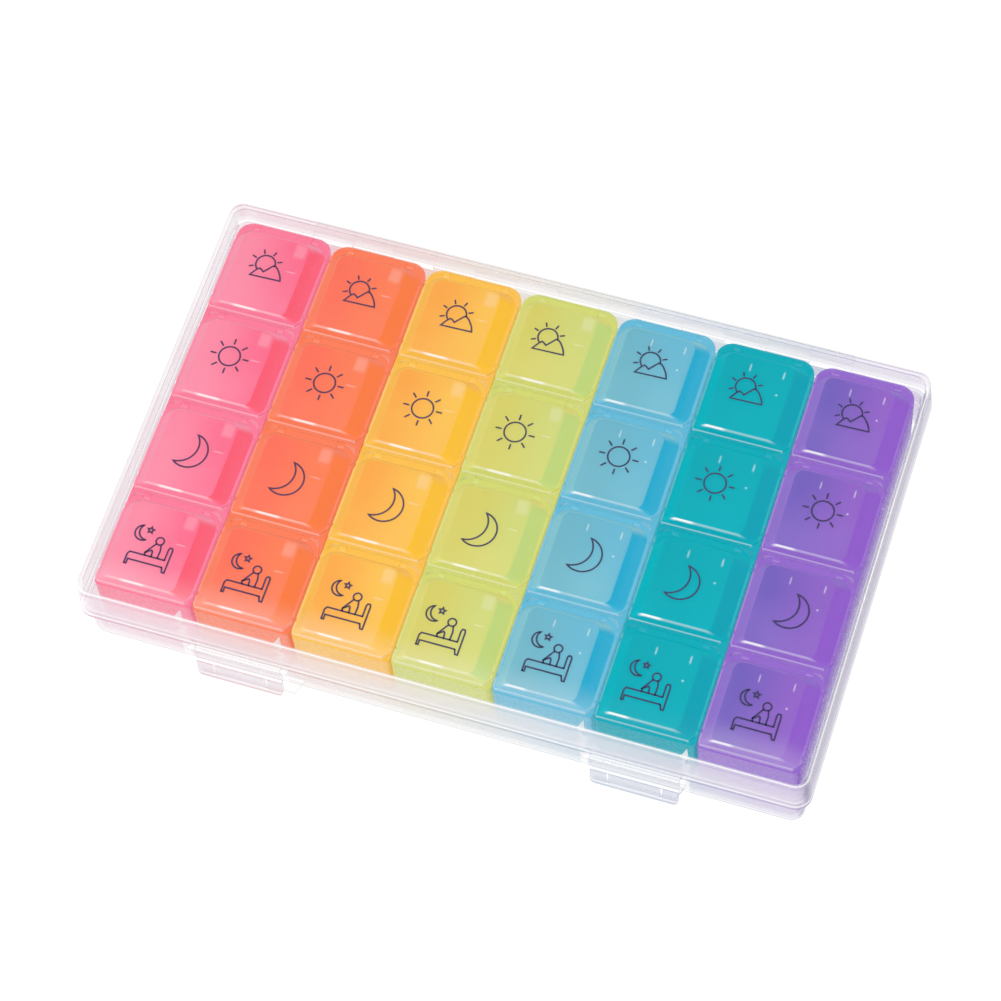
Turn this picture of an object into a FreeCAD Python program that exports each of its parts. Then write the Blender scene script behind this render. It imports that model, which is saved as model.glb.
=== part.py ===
import FreeCAD, Part

import math
import os

# Weekly pill organiser: a clear hinged case that holds seven coloured strips, one for each
# day. A strip has four compartments, and each compartment has its own flip lid.
# Millimetres. +X runs along the front of the case from the first day to the last, +Y runs
# from the front to the hinge at the back, and +Z is up. The origin is on the surface that
# the case stands on, at the middle of its outline.

V = FreeCAD.Vector
X_AXIS = V(1, 0, 0)

DAYS = ("pink", "orange", "amber", "lime", "blue", "teal", "purple")
TIMES = ("morning", "noon", "evening", "bedtime")

# Case: a tray, and a lid whose skirt laps over the top of the tray's walls.
CASE_HEIGHT = 28.0
SKIRT_BOTTOM = 14.4
LID_WIDTH = 218.4
LID_DEPTH = 138.0
LID_DRAFT = 1.0
LID_CORNER = 5.0
LID_TOP_FILLET = 1.0
CASE_WALL = 1.2
CASE_FLOOR = 1.4
SKIRT_GAP = 0.3
TRAY_HEIGHT = 19.0
TRAY_DRAFT = 0.4
TRAY_CORNER = 4.0
TRAY_BOTTOM_FILLET = 1.0

# Hinge of the case: knuckles in turn on the tray and on the lid, on one long pin.
HINGE_Y = 70.9
HINGE_Z = TRAY_HEIGHT
HINGE_LENGTH = 168.0
HINGE_KNUCKLES = 13
HINGE_GAP = 0.4
KNUCKLE_RADIUS = 1.7
KNUCKLE_WEB = 1.5
HINGE_PIN_RADIUS = 0.7
HINGE_BORE_RADIUS = 0.8

# Two snap latches hang from the lid's front. Each closes over a ledge on the tray. A ledge
# is given by the two ends of its front edge, measured from the middle of its latch.
LATCH_CENTRES = {"latch_left": -58.4, "latch_right": 59.7}
LATCH_WIDTH = 26.0
LATCH_Y = -70.4
LATCH_Z = 16.4
LATCH_BARREL = 1.1
LATCH_THICK = 1.1
LATCH_BOTTOM = 3.2
LATCH_FRONT = -72.6
LATCH_STEP = 0.5
LATCH_STEP_Z = 11.0
LATCH_STEP_FRONT = -71.6
LATCH_CORNER = 2.0
LATCH_TOP_CORNER = 0.25
LATCH_SLOT_X = 7.9
LATCH_SLOT_WIDTH = 0.8
LATCH_SLOT_Z = (4.8, 10.2)
LATCH_LUG = 1.6
LATCH_GAP = 0.25
LATCH_PIN_RADIUS = 0.5
LATCH_BORE_RADIUS = 0.6
LEDGE_FRONT = -71.1
LEDGE_Z = (3.8, 5.3)
LEDGE_TAPER = 1.6
LEDGE_ENDS = {"latch_left": (-12.0, 16.2), "latch_right": (-12.0, 12.0)}
BEAD_RISE = 0.1
BEAD_NOSE = 0.2
SNAP_CLEARANCE = 0.1

# Ribs inside the lid's front, in line with the two sides of the strips behind the latches.
RIB_X = (-76.7, -46.7, 43.3, 73.3)
RIB_HALF_WIDTH = 1.3
RIB_REACH = 2.2
RIB_ROOT = 0.9
RIB_CLEARANCE = 0.1

# Strips stand side by side on the floor of the tray, pushed towards the left and the back.
STRIP_PITCH = 30.0
STRIP_WIDTH = 29.6
STRIP_SHIFT_X = -0.2
STRIP_SHIFT_Y = 1.4
STRIP_BOTTOM = CASE_FLOOR
STRIP_TOP = 22.4
STRIP_WALL = 1.0
STRIP_FLOOR = 1.2
STRIP_FRONT_CORNER = 1.5
STRIP_REAR_CORNER = 5.0
STRIP_BOTTOM_FILLET = 1.0
CELL_PITCH = 31.6
CELL_CORNER = 2.0
CELL_BOTTOM_FILLET = 1.5
STRIP_FRONT_Y = -63.3
STRIP_REAR_Y = 63.6

# Flip lid of one compartment: a flat rim, a raised cushion above it and a plug below it.
# Its hinge barrel lies along the middle of its rear edge.
RIM_BOTTOM = 22.6
RIM_TOP = 23.6
PANEL_TOP = 26.2
RIM_HALF_WIDTH = 14.65
RIM_FRONT = -15.5
RIM_REAR_CORNER = 5.0
RIM_FRONT_CORNER = 1.5
RIM_CHAMFER = (2.2, 3.0)
RIM_CHAMFER_EDGE = 0.6
CUSHION_FOOT = (-13.9, 13.9, -14.9, 13.0)
CUSHION_FOOT_RADII = (1.6, 3.2, 4.6, 4.6)
PANEL = (-11.3, 9.5, -14.4, 11.3)
PANEL_RADII = (2.4, 2.6, 3.0, 3.0)
PANEL_FILLET = 0.6
LID_SHELL = 0.9
PLUG = (-13.3, 13.3, -14.4, 12.8)
PLUG_RADIUS = 1.8
PLUG_DEPTH = 0.9
PLUG_THICK = 0.8
NICK_DEPTH = 0.45
NICK_LENGTH = 1.3
NICK_SHARES = (0.18, 0.85)
BARREL_Y = 14.6
BARREL_Z = RIM_BOTTOM
BARREL_RADIUS = 1.0
BARREL_HALF = 8.1
BARREL_PIN_RADIUS = 0.55
BARREL_PIN_LENGTH = 1.6
LUG_X = (8.3, 10.3)
LUG_RADIUS = 1.1
LUG_BORE_RADIUS = 0.65
LUG_FOOT_Z = 17.6
LUG_CLEARANCE = 0.2
SADDLE_RADIUS = 1.25
LEAST_RADIUS = 0.5

# How far a cutting shape reaches past what it cuts, and how closely heights are compared.
OVERCUT = 1.0
TOLERANCE = 1e-4


def rounded_wire(corners, z):
    """A closed wire at height z through (x, y, radius) corners, each rounded by an arc."""
    ends = []
    for i, (x, y, radius) in enumerate(corners):
        here = V(x, y, z)
        before = V(corners[i - 1][0], corners[i - 1][1], z) - here
        after = corners[(i + 1) % len(corners)]
        after = V(after[0], after[1], z) - here
        before.normalize()
        after.normalize()
        half = before.getAngle(after) / 2
        tangent = radius / math.tan(half)
        middle = before + after
        middle.normalize()
        depth = radius / math.sin(half) - radius
        ends.append((here + before * tangent, here + middle * depth, here + after * tangent))
    edges = []
    for i, (start, middle, end) in enumerate(ends):
        edges.append(Part.Arc(start, middle, end).toShape())
        edges.append(Part.LineSegment(end, ends[(i + 1) % len(ends)][0]).toShape())
    return Part.Wire(edges)


def box_corners(x0, x1, y0, y1, radii):
    """Corners of a box outline, from the front left one anticlockwise."""
    places = ((x0, y0), (x1, y0), (x1, y1), (x0, y1))
    return [(x, y, radius) for (x, y), radius in zip(places, radii)]


def centred_corners(width, depth, radius):
    return box_corners(-width / 2, width / 2, -depth / 2, depth / 2, (radius,) * 4)


def prism(wire, height):
    return Part.Face(wire).extrude(V(0, 0, height))


def loft(lower, upper):
    return Part.makeLoft([lower, upper], True, True)


def edges_at(shape, z):
    """The edges of a shape that lie wholly at height z."""
    return [e for e in shape.Edges if abs(e.BoundBox.ZMin - z) + abs(e.BoundBox.ZMax - z) < TOLERANCE]


def rod(radius, x0, x1, y, z):
    """A cylinder along X."""
    return Part.makeCylinder(radius, x1 - x0, V(x0, y, z), X_AXIS)


def block(x0, x1, y0, y1, z0, z1):
    return Part.makeBox(x1 - x0, y1 - y0, z1 - z0, V(x0, y0, z0))


def side_profile(points, x0, x1):
    """A prism along X over a closed (y, z) outline."""
    wire = Part.makePolygon([V(x0, y, z) for y, z in points + points[:1]])
    return Part.Face(wire).extrude(V(x1 - x0, 0, 0))


def fused(first, *others):
    return first.fuse(list(others)).removeSplitter()


def knuckle_spans():
    """(x0, x1, is_on_lid) for each knuckle of the case's hinge."""
    pitch = HINGE_LENGTH / HINGE_KNUCKLES
    for i in range(HINGE_KNUCKLES):
        x0 = -HINGE_LENGTH / 2 + i * pitch
        yield x0 + HINGE_GAP / 2, x0 + pitch - HINGE_GAP / 2, i % 2 == 1


def knuckle(x0, x1, wall_y, z0, z1):
    """A hinge knuckle with the web that joins it to a wall."""
    barrel = rod(KNUCKLE_RADIUS, x0, x1, HINGE_Y, HINGE_Z)
    return fused(barrel, block(x0, x1, wall_y, HINGE_Y, z0, z1))


def hinge_bore():
    reach = HINGE_LENGTH / 2 + OVERCUT
    return rod(HINGE_BORE_RADIUS, -reach, reach, HINGE_Y, HINGE_Z)


def lid_inside(z):
    """Width, depth and corner radius of the space inside the lid's skirt at height z."""
    lean = LID_DRAFT * (z - SKIRT_BOTTOM) / (CASE_HEIGHT - SKIRT_BOTTOM)
    shrink = 2 * (CASE_WALL + lean)
    return LID_WIDTH - shrink, LID_DEPTH - shrink, LID_CORNER - CASE_WALL


def tray_outside():
    """Width and depth of the tray at its upper edge."""
    width, depth, _ = lid_inside(TRAY_HEIGHT)
    return width - 2 * SKIRT_GAP, depth - 2 * SKIRT_GAP


def make_case_base():
    width, depth = tray_outside()
    shell = loft(
        rounded_wire(centred_corners(width - 2 * TRAY_DRAFT, depth - 2 * TRAY_DRAFT, TRAY_CORNER), 0),
        rounded_wire(centred_corners(width, depth, TRAY_CORNER), TRAY_HEIGHT),
    )
    shell = shell.makeFillet(TRAY_BOTTOM_FILLET, edges_at(shell, 0))
    inner_corner = TRAY_CORNER - CASE_WALL
    shrink = 2 * CASE_WALL
    hollow = loft(
        rounded_wire(
            centred_corners(
                width - shrink - 2 * TRAY_DRAFT, depth - shrink - 2 * TRAY_DRAFT, inner_corner
            ),
            CASE_FLOOR,
        ),
        rounded_wire(centred_corners(width - shrink, depth - shrink, inner_corner), TRAY_HEIGHT),
    )
    shell = shell.cut(hollow)
    pieces = []
    for name, centre in LATCH_CENTRES.items():
        pieces.append(make_ledge(centre, LEDGE_ENDS[name], depth))
    wall_y = depth / 2 - CASE_WALL / 2
    for x0, x1, is_on_lid in knuckle_spans():
        if not is_on_lid:
            top = HINGE_Z - HINGE_GAP / 2
            pieces.append(knuckle(x0, x1, wall_y, top - KNUCKLE_WEB, top))
    return fused(shell, *pieces).cut(hinge_bore())


def make_ledge(centre, ends, tray_depth):
    """The ledge under one latch: wider where it leaves the tray than at its front."""
    back = -tray_depth / 2 + CASE_WALL / 2
    left, right = centre + ends[0], centre + ends[1]
    points = (
        (left - LEDGE_TAPER, back),
        (left, LEDGE_FRONT),
        (right, LEDGE_FRONT),
        (right + LEDGE_TAPER, back),
    )
    wire = Part.makePolygon([V(x, y, LEDGE_Z[0]) for x, y in points + points[:1]])
    return prism(wire, LEDGE_Z[1] - LEDGE_Z[0])


def make_case_lid():
    top_corner = LID_CORNER - LID_DRAFT
    shell = loft(
        rounded_wire(centred_corners(LID_WIDTH, LID_DEPTH, LID_CORNER), SKIRT_BOTTOM),
        rounded_wire(
            centred_corners(LID_WIDTH - 2 * LID_DRAFT, LID_DEPTH - 2 * LID_DRAFT, top_corner),
            CASE_HEIGHT,
        ),
    )
    shell = shell.makeFillet(LID_TOP_FILLET, edges_at(shell, CASE_HEIGHT))
    ceiling = CASE_HEIGHT - CASE_FLOOR
    hollow = loft(
        rounded_wire(centred_corners(*lid_inside(SKIRT_BOTTOM)), SKIRT_BOTTOM),
        rounded_wire(centred_corners(*lid_inside(ceiling)), ceiling),
    )
    shell = shell.cut(hollow)
    # The skirt is cut short along the back, so that it clears the tray as the lid turns.
    relief_top = HINGE_Z + HINGE_GAP / 2
    inner_half_width = lid_inside(SKIRT_BOTTOM)[0] / 2
    rear_corner_y = LID_DEPTH / 2 - 2 * LID_CORNER
    shell = shell.cut(
        block(
            -inner_half_width,
            inner_half_width,
            rear_corner_y,
            LID_DEPTH / 2 + OVERCUT,
            SKIRT_BOTTOM - OVERCUT,
            relief_top,
        )
    )
    pieces = []
    for x in RIB_X:
        pieces.append(make_rib(x, ceiling))
    for centre in LATCH_CENTRES.values():
        pieces.extend(make_latch_lugs(centre))
    wall_y = LID_DEPTH / 2 - CASE_WALL
    for x0, x1, is_on_lid in knuckle_spans():
        if is_on_lid:
            pieces.append(knuckle(x0, x1, wall_y, relief_top, relief_top + KNUCKLE_WEB))
    return fused(shell, *pieces).cut(hinge_bore())


def make_rib(x, ceiling):
    """A pointed upright rib inside the lid's front wall."""
    inner_face = -lid_inside(ceiling)[1] / 2
    wall, tip = inner_face - RIB_ROOT, inner_face + RIB_REACH
    points = ((x - RIB_HALF_WIDTH, wall), (x + RIB_HALF_WIDTH, wall), (x, tip))
    bottom = TRAY_HEIGHT + RIB_CLEARANCE
    wire = Part.makePolygon([V(px, py, bottom) for px, py in points + points[:1]])
    return prism(wire, ceiling - bottom + CASE_FLOOR / 2)


def make_latch_lugs(centre):
    """The two lugs on the lid that carry a latch."""
    wall_y = -LID_DEPTH / 2 + CASE_WALL
    lugs = []
    for side in (-1, 1):
        near = centre + side * (LATCH_WIDTH / 2 + LATCH_GAP)
        far = near + side * LATCH_LUG
        x0, x1 = sorted((near, far))
        eye = rod(LATCH_BARREL, x0, x1, LATCH_Y, LATCH_Z)
        web = block(x0, x1, LATCH_Y, wall_y, LATCH_Z, LATCH_Z + LATCH_BARREL)
        bore = rod(LATCH_BORE_RADIUS, x0, x1, LATCH_Y, LATCH_Z)
        lugs.append(fused(eye, web).cut(bore))
    return lugs


def make_latch(centre):
    """A flap with a stepped front, a bead inside its lower edge and a barrel at its top."""
    half = LATCH_WIDTH / 2
    x0, x1 = centre - half, centre + half
    top_front = LATCH_Y - LATCH_BARREL
    outline = [
        (top_front, LATCH_Z),
        (LATCH_STEP_FRONT + LATCH_STEP, LATCH_STEP_Z),
        (LATCH_STEP_FRONT, LATCH_STEP_Z - LATCH_STEP),
        (LATCH_FRONT, LATCH_BOTTOM),
        (LATCH_FRONT + LATCH_THICK, LATCH_BOTTOM),
        (LATCH_STEP_FRONT + LATCH_THICK, LATCH_STEP_Z - LATCH_STEP),
        (LATCH_STEP_FRONT + LATCH_STEP + LATCH_THICK, LATCH_STEP_Z),
        (LATCH_Y, LATCH_Z),
    ]
    flap = side_profile(outline, x0, x1)
    # Round the two lower corners of the flap, seen from the front.
    window = Part.Face(front_window(x0, x1)).extrude(V(0, 2 * LATCH_THICK + 2 * OVERCUT, 0))
    flap = flap.common(window)
    bead_tip = LEDGE_FRONT - SNAP_CLEARANCE
    bead_back = LATCH_FRONT + LATCH_THICK / 2
    bead_top = LEDGE_Z[0] - SNAP_CLEARANCE
    bead = side_profile(
        [
            (bead_back, LATCH_BOTTOM + BEAD_RISE),
            (LATCH_FRONT + LATCH_THICK, LATCH_BOTTOM + BEAD_RISE),
            (bead_tip, bead_top - BEAD_NOSE),
            (bead_tip, bead_top),
            (bead_back, bead_top),
        ],
        centre - LATCH_SLOT_X + LATCH_SLOT_WIDTH,
        centre + LATCH_SLOT_X - LATCH_SLOT_WIDTH,
    )
    barrel = rod(LATCH_BARREL, x0, x1, LATCH_Y, LATCH_Z)
    pins = rod(LATCH_PIN_RADIUS, x0 - LATCH_LUG, x1 + LATCH_LUG, LATCH_Y, LATCH_Z)
    slots = [
        block(
            centre + side * LATCH_SLOT_X - LATCH_SLOT_WIDTH / 2,
            centre + side * LATCH_SLOT_X + LATCH_SLOT_WIDTH / 2,
            LATCH_FRONT - OVERCUT,
            LATCH_Y,
            *LATCH_SLOT_Z,
        )
        for side in (-1, 1)
    ]
    return fused(flap, bead, barrel, pins).cut(slots)


def front_window(x0, x1):
    """The outline of a latch flap seen from the front, as a wire in an XZ plane."""
    corners = [
        (x0, LATCH_BOTTOM, LATCH_CORNER),
        (x1, LATCH_BOTTOM, LATCH_CORNER),
        (x1, LATCH_Z + LATCH_BARREL, LATCH_TOP_CORNER),
        (x0, LATCH_Z + LATCH_BARREL, LATCH_TOP_CORNER),
    ]
    wire = rounded_wire(corners, 0)
    wire.rotate(V(0, 0, 0), X_AXIS, 90)
    wire.translate(V(0, LATCH_FRONT - OVERCUT, 0))
    return wire


def cell_centre_y(row):
    """Y of a compartment's centre in its strip, from the row at the back to the front one."""
    return (len(TIMES) / 2 - 0.5 - row) * CELL_PITCH


def make_strip():
    """One strip with its compartments and hinge lugs, centred on X = 0."""
    half = STRIP_WIDTH / 2
    front, rear = STRIP_FRONT_CORNER, STRIP_REAR_CORNER
    corners = box_corners(-half, half, STRIP_FRONT_Y, STRIP_REAR_Y, (front, front, rear, rear))
    body = prism(rounded_wire(corners, STRIP_BOTTOM), STRIP_TOP - STRIP_BOTTOM)
    body = body.makeFillet(STRIP_BOTTOM_FILLET, edges_at(body, STRIP_BOTTOM))
    cell_floor = STRIP_BOTTOM + STRIP_FLOOR
    lugs = []
    cuts = []
    for row in range(len(TIMES)):
        centre = cell_centre_y(row)
        y0 = centre - CELL_PITCH / 2 + STRIP_WALL / 2
        y1 = centre + CELL_PITCH / 2 - STRIP_WALL / 2
        rear_radius = STRIP_REAR_CORNER - STRIP_WALL if row == 0 else CELL_CORNER
        radii = (CELL_CORNER, CELL_CORNER, rear_radius, rear_radius)
        cell = prism(
            rounded_wire(box_corners(STRIP_WALL - half, half - STRIP_WALL, y0, y1, radii), cell_floor),
            STRIP_TOP - cell_floor + OVERCUT,
        )
        cuts.append(cell.makeFillet(CELL_BOTTOM_FILLET, edges_at(cell, cell_floor)))
        axis_y = centre + BARREL_Y
        for side in (-1, 1):
            lugs.append(make_lug(side, axis_y, y1 + STRIP_WALL / 2))
    body = fused(body.cut(cuts), *lugs)
    for row in range(len(TIMES)):
        axis_y = cell_centre_y(row) + BARREL_Y
        reach = LUG_X[0]
        body = body.cut(rod(SADDLE_RADIUS, -reach, reach, axis_y, BARREL_Z))
        body = body.cut(rod(LUG_BORE_RADIUS, -LUG_X[1], LUG_X[1], axis_y, BARREL_Z))
    return body


def make_lug(side, axis_y, wall_y):
    """A lug that stands out of a cross wall and holds one end of a flip lid's pin."""
    x0, x1 = sorted((side * LUG_X[0], side * LUG_X[1]))
    eye = rod(LUG_RADIUS, x0, x1, axis_y, BARREL_Z)
    foot = side_profile(
        [
            (axis_y - LUG_RADIUS, BARREL_Z),
            (wall_y, BARREL_Z),
            (wall_y, LUG_FOOT_Z),
            (wall_y - STRIP_WALL / 2, LUG_FOOT_Z),
            (axis_y - LUG_RADIUS, BARREL_Z - LUG_RADIUS),
        ],
        x0,
        x1,
    )
    return fused(eye, foot)


def make_flip_lid():
    """The flip lid of the compartment whose centre is at X = 0, Y = 0."""
    chamfer_x, chamfer_y = RIM_CHAMFER
    corners = [
        (-RIM_HALF_WIDTH, RIM_FRONT, RIM_FRONT_CORNER),
        (RIM_HALF_WIDTH - chamfer_x, RIM_FRONT, RIM_CHAMFER_EDGE),
        (RIM_HALF_WIDTH, RIM_FRONT + chamfer_y, RIM_CHAMFER_EDGE),
        (RIM_HALF_WIDTH, BARREL_Y, RIM_REAR_CORNER),
        (-RIM_HALF_WIDTH, BARREL_Y, RIM_REAR_CORNER),
    ]
    rim = prism(rounded_wire(corners, RIM_BOTTOM), RIM_TOP - RIM_BOTTOM)
    cushion = loft(
        rounded_wire(box_corners(*CUSHION_FOOT, CUSHION_FOOT_RADII), RIM_TOP),
        rounded_wire(box_corners(*PANEL, PANEL_RADII), PANEL_TOP),
    )
    cushion = cushion.makeFillet(PANEL_FILLET, edges_at(cushion, PANEL_TOP))
    plug = prism(rounded_wire(plug_corners(0), RIM_BOTTOM - PLUG_DEPTH), PLUG_DEPTH)
    plug = plug.cut(
        prism(rounded_wire(plug_corners(PLUG_THICK), RIM_BOTTOM - PLUG_DEPTH), PLUG_DEPTH)
    )
    ceiling = PANEL_TOP - LID_SHELL
    hollow = loft(
        rounded_wire(inset_corners(CUSHION_FOOT, CUSHION_FOOT_RADII, LID_SHELL), RIM_BOTTOM),
        rounded_wire(inset_corners(PANEL, PANEL_RADII, LID_SHELL), ceiling),
    )
    barrel = rod(BARREL_RADIUS, -BARREL_HALF, BARREL_HALF, BARREL_Y, BARREL_Z)
    lid = fused(rim, cushion).cut(hollow)
    lid = lid.cut(lug_notches() + side_nicks())
    reach = BARREL_HALF + BARREL_PIN_LENGTH
    pins = rod(BARREL_PIN_RADIUS, -reach, reach, BARREL_Y, BARREL_Z)
    return fused(lid, plug, barrel, pins)


def plug_corners(inset):
    return inset_corners(PLUG, (PLUG_RADIUS,) * 4, inset)


def inset_corners(box, radii, inset):
    """Corners of a box outline moved inwards, with the corner radii that stay parallel."""
    x0, x1, y0, y1 = box
    radii = [max(radius - inset, LEAST_RADIUS) for radius in radii]
    return box_corners(x0 + inset, x1 - inset, y0 + inset, y1 - inset, radii)


def lug_notches():
    """Room in the rim for the strip's lugs."""
    y0 = BARREL_Y - LUG_RADIUS - LUG_CLEARANCE
    notches = []
    for side in (-1, 1):
        x0, x1 = sorted((side * BARREL_HALF, side * (LUG_X[1] + LUG_CLEARANCE)))
        notches.append(block(x0, x1, y0, BARREL_Y + OVERCUT, RIM_BOTTOM, RIM_TOP + OVERCUT))
    return notches


def side_nicks():
    """Small nicks in the sides of the rim, near its front and near its back."""
    nicks = []
    for share in NICK_SHARES:
        middle = BARREL_Y - share * (BARREL_Y - RIM_FRONT)
        y0, y1 = middle - NICK_LENGTH / 2, middle + NICK_LENGTH / 2
        for side in (-1, 1):
            x0, x1 = sorted((side * (RIM_HALF_WIDTH - NICK_DEPTH), side * (RIM_HALF_WIDTH + OVERCUT)))
            nicks.append(block(x0, x1, y0, y1, RIM_BOTTOM, RIM_TOP))
    return nicks


def make_hinge_pin():
    half = HINGE_LENGTH / 2
    return rod(HINGE_PIN_RADIUS, -half, half, HINGE_Y, HINGE_Z)


def strip_x(day):
    """X of a strip's centre."""
    return STRIP_SHIFT_X + (day - (len(DAYS) - 1) / 2) * STRIP_PITCH


def moved(shape, x, y):
    copy = shape.copy()
    copy.translate(V(x, y, 0))
    return copy


def make_nodes():
    nodes = {
        "case_base": make_case_base(),
        "case_lid": make_case_lid(),
        "case_hinge_pin": make_hinge_pin(),
    }
    for name, centre in LATCH_CENTRES.items():
        nodes[name] = make_latch(centre)
    strip = make_strip()
    flip_lid = make_flip_lid()
    for day, colour in enumerate(DAYS):
        nodes["strip_" + colour] = moved(strip, strip_x(day), STRIP_SHIFT_Y)
        for row, time in enumerate(TIMES):
            y = STRIP_SHIFT_Y + cell_centre_y(row)
            nodes[f"lid_{colour}_{time}"] = moved(flip_lid, strip_x(day), y)
    return nodes


os.makedirs("parts", exist_ok=True)
for name, shape in make_nodes().items():
    if not shape.isValid() or len(shape.Solids) != 1:
        raise ValueError(f"{name} is not one valid solid: {len(shape.Solids)} solids")
    shape.exportStep(f"parts/{name}.step")
    print(f"{name}: {shape.Volume / 1000:.2f} cm3")
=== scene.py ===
import math
from collections import namedtuple

import bmesh
import bpy
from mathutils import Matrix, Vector


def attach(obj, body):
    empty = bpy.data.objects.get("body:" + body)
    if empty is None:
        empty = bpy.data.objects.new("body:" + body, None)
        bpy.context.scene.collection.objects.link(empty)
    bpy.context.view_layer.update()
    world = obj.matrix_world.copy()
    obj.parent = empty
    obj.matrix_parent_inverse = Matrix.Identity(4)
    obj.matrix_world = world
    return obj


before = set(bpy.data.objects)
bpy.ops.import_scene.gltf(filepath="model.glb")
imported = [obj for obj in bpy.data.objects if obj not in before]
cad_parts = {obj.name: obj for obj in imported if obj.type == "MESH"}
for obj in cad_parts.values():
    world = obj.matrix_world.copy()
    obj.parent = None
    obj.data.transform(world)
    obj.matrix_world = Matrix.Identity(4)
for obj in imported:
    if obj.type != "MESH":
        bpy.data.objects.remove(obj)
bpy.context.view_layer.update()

# Weekly pill organiser. Metres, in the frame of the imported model: +X along the front,
# +Y from the latches to the hinge, +Z up.

DAYS = ("pink", "orange", "amber", "lime", "blue", "teal", "purple")
WARM_DAYS = DAYS[:4]
TIMES = ("morning", "noon", "evening", "bedtime")
FRONT_ROW = len(TIMES) - 1

MM = 0.001
STRIP_PITCH = 30 * MM
CELL_PITCH = 31.6 * MM
STRIP_SHIFT_X = -0.2 * MM
STRIP_SHIFT_Y = 1.4 * MM
PANEL_TOP = 26.2 * MM


def strip_x(day):
    return STRIP_SHIFT_X + (day - (len(DAYS) - 1) / 2) * STRIP_PITCH


def cell_y(row):
    return STRIP_SHIFT_Y + ((len(TIMES) - 1) / 2 - row) * CELL_PITCH


def rgb(red, green, blue):
    """A display colour from 0 to 255, by the sRGB curve, as the linear colour of shaders."""
    out = []
    for value in (red, green, blue):
        value /= 255
        out.append(value / 12.92 if value <= 0.04045 else ((value + 0.055) / 1.055) ** 2.4)
    return (*out, 1.0)


WHITE = (1, 1, 1, 1)


# ---------------------------------------------------------------- shader helpers

# Noise mostly runs from NOISE_LOW to NOISE_HIGH, about NOISE_MIDDLE.
NOISE_LOW, NOISE_MIDDLE, NOISE_HIGH = 0.3, 0.5, 0.7
# The share of a band's half width that is at full strength.
BAND_CORE = 0.4


class Nodes:
    """Short calls for building one node tree."""

    def __init__(self, tree):
        self.tree = tree
        tree.nodes.clear()

    def add(self, kind, **settings):
        node = self.tree.nodes.new(kind)
        for key, value in settings.items():
            setattr(node, key, value)
        return node

    def put(self, socket, value):
        if isinstance(value, bpy.types.NodeSocket):
            self.tree.links.new(value, socket)
        else:
            socket.default_value = value

    def math(self, operation, a, b=0.0, clamp=False):
        node = self.add("ShaderNodeMath", operation=operation, use_clamp=clamp)
        self.put(node.inputs[0], a)
        self.put(node.inputs[1], b)
        return node.outputs[0]

    def times(self, product, *factors):
        """The product of two or more values."""
        for factor in factors:
            product = self.math("MULTIPLY", product, factor)
        return product

    def ramp(self, value, low, high, low_out=0.0, high_out=1.0, kind="SMOOTHSTEP"):
        """A smooth step from low_out to high_out as value goes from low to high."""
        node = self.add("ShaderNodeMapRange", interpolation_type=kind, clamp=True)
        for socket, number in zip(node.inputs, (value, low, high, low_out, high_out)):
            self.put(socket, number)
        return node.outputs[0]

    def vary(self, noise, low_out, high_out):
        """A noise stretched to run from low_out to high_out."""
        return self.ramp(noise, NOISE_LOW, NOISE_HIGH, low_out, high_out)

    def band(self, value, middle, half):
        """1 where value is near middle, falling smoothly to 0 at half on each side of it."""
        away = self.math("ABSOLUTE", self.math("SUBTRACT", value, middle))
        return self.ramp(away, half, half * BAND_CORE)

    def mix_number(self, factor, a, b):
        node = self.add("ShaderNodeMix", data_type="FLOAT")
        self.put(node.inputs[0], factor)
        self.put(node.inputs[2], a)
        self.put(node.inputs[3], b)
        return node.outputs[0]

    def mix(self, factor, a, b):
        node = self.add("ShaderNodeMix", data_type="RGBA", blend_type="MIX")
        self.put(node.inputs[0], factor)
        self.put(node.inputs[6], a)
        self.put(node.inputs[7], b)
        return node.outputs[2]

    def split(self, vector):
        node = self.add("ShaderNodeSeparateXYZ")
        self.put(node.inputs[0], vector)
        return node.outputs


class Surface(Nodes):
    """A new material, with its output and its texture coordinates."""

    def __init__(self, name):
        self.material = bpy.data.materials.new(name)
        self.material.use_nodes = True
        super().__init__(self.material.node_tree)
        self.out = self.add("ShaderNodeOutputMaterial")
        self.coords = self.add("ShaderNodeTexCoord")

    def places(self):
        """The point's x, y and z. On a CAD node they are those of the frame at rest."""
        return self.split(self.coords.outputs["Object"])

    def normals(self):
        return self.split(self.coords.outputs["Normal"])

    def noise(self, scale, detail=2.0, roughness=0.5, stretch=(1, 1, 1)):
        """Noise over the object's own coordinates. scale is in cycles per metre."""
        mapping = self.add("ShaderNodeMapping")
        self.put(mapping.inputs["Vector"], self.coords.outputs["Object"])
        mapping.inputs["Scale"].default_value = stretch
        node = self.add("ShaderNodeTexNoise")
        self.put(node.inputs["Vector"], mapping.outputs[0])
        node.inputs["Scale"].default_value = scale
        node.inputs["Detail"].default_value = detail
        node.inputs["Roughness"].default_value = roughness
        return node.outputs["Fac"]

    def bump(self, height, distance):
        node = self.add("ShaderNodeBump")
        node.inputs["Strength"].default_value = 1.0
        node.inputs["Distance"].default_value = distance
        self.put(node.inputs["Height"], height)
        return node.outputs[0]

    def principled(self, **sockets):
        node = self.add("ShaderNodeBsdfPrincipled")
        for key, value in sockets.items():
            self.put(node.inputs[key.replace("_", " ")], value)
        self.tree.links.new(node.outputs[0], self.out.inputs[0])


# ---------------------------------------------------------------- colours of the days

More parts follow.
